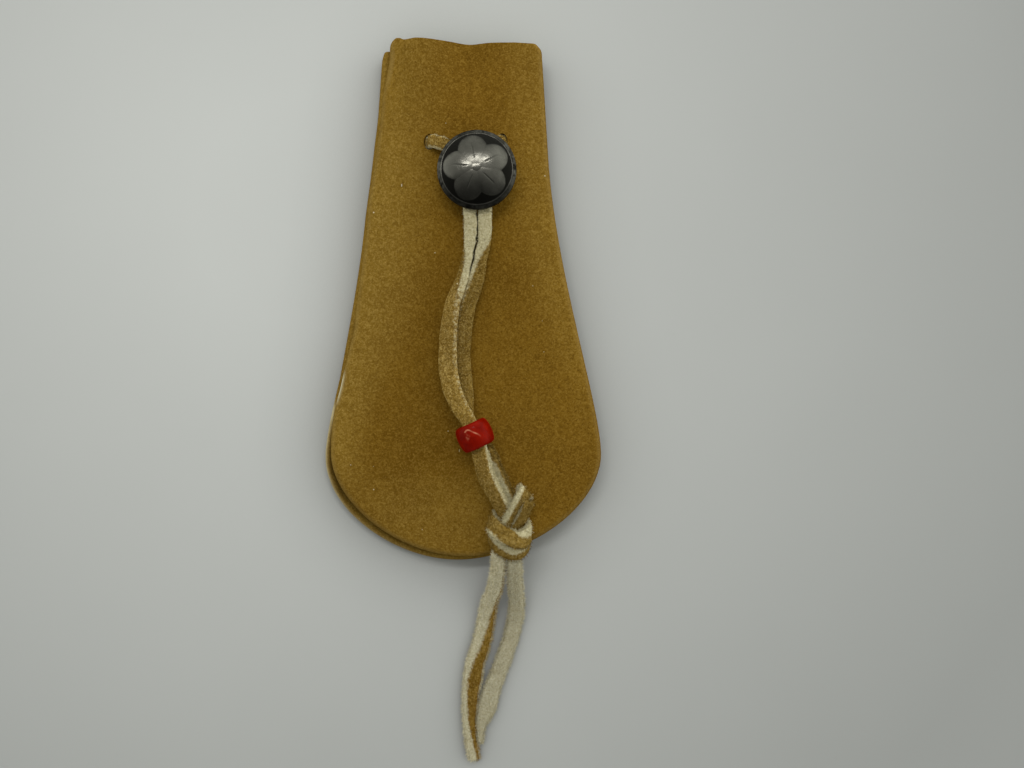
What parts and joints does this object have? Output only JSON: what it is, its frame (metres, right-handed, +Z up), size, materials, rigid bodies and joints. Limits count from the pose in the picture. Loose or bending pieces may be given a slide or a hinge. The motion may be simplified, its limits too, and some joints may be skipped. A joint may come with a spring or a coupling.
{
  "type": "drawstring pouch",
  "caption": "Small bell-shaped buckskin pouch with an open mouth, closed by a doubled lace that runs through a domed metal button and a bead to a knot with loose tails.",
  "frame": {"origin": "on the ground, under the middle of the pouch's own box, without the lace", "axes": "+Y from the round bottom to the mouth, +Z up, out of the front panel, +X to the right seen from the front"},
  "size_m": [0.0702, 0.184, 0.018],
  "materials": {
    "hide": "tan buckskin with a short soft nap",
    "lace_hide": "hide strip, tan nap on one face and cream flesh side on the other",
    "thread": "twisted sewing thread",
    "dark_nickel": "darkened nickel with polished high spots",
    "shank_wire": "dull bright wire",
    "bead_red": "opaque glossy red"
  },
  "bodies": {
    "pouch": {"front_panel": "hide", "back_panel": "hide", "needle_thread": "thread", "bobbin_thread": "thread", "lace_back": "lace_hide", "lace_left": "lace_hide", "lace_right": "lace_hide", "lace_knot": "lace_hide", "tail_left": "lace_hide", "tail_right": "lace_hide"},
    "button": {"button_dome": "dark_nickel", "button_shank": "shank_wire"},
    "bead": {"bead": "bead_red"}
  },
  "joints": [
    {"name": "button_slide", "type": "slide", "parent": "pouch", "child": "button", "axis": [0, -1, 0], "range_m": [0, 0.009]},
    {"name": "bead_slide", "type": "slide", "parent": "pouch", "child": "bead", "axis": [0.4131, -0.9107, 0], "range_m": [0, 0.013]}
  ]
}
